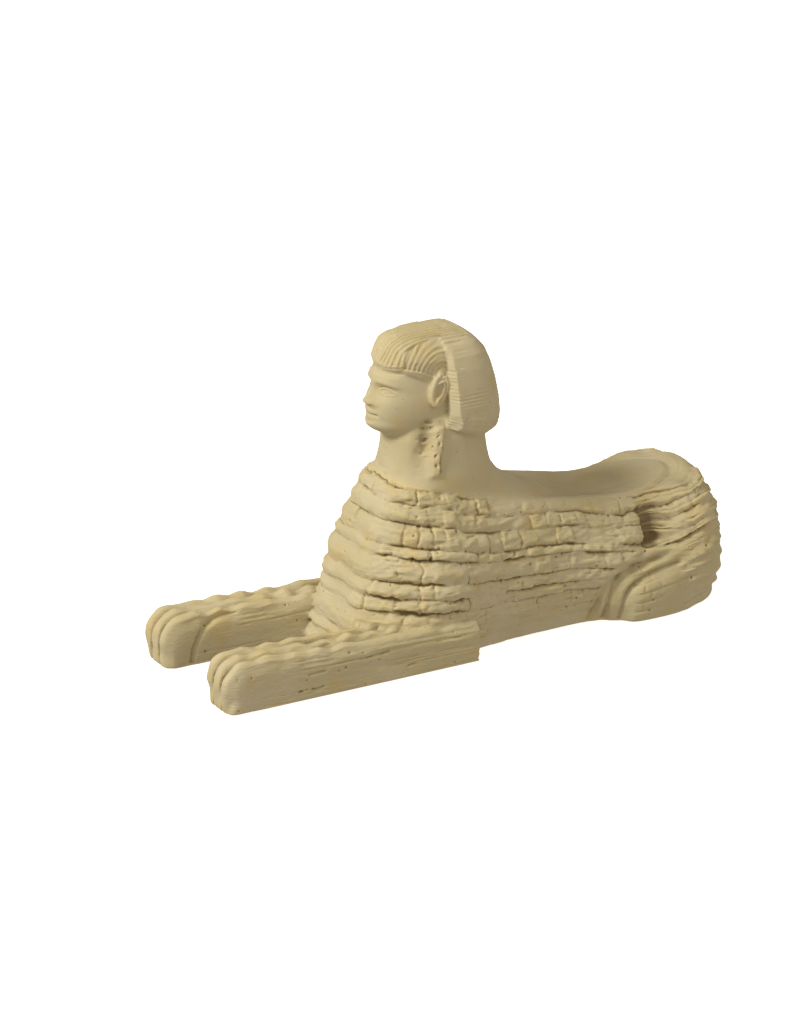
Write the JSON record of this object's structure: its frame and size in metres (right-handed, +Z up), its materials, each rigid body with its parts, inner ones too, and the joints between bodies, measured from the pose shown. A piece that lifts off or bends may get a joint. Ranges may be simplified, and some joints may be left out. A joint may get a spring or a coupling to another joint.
{
  "type": "sphinx statuette",
  "caption": "Small recumbent sphinx cast in plaster, with a lion's body of layered weathered stone and a human head in a headcloth; a desk or shelf ornament.",
  "frame": {"origin": "middle of the underside, halfway from toe tips to rump", "axes": "+Z up, the figure looks along -Y, +X is the figure's left side"},
  "size_m": [0.073, 0.24, 0.134],
  "materials": {
    "plaster": null
  },
  "bodies": {
    "root": {"sphinx": "plaster"}
  },
  "joints": []
}
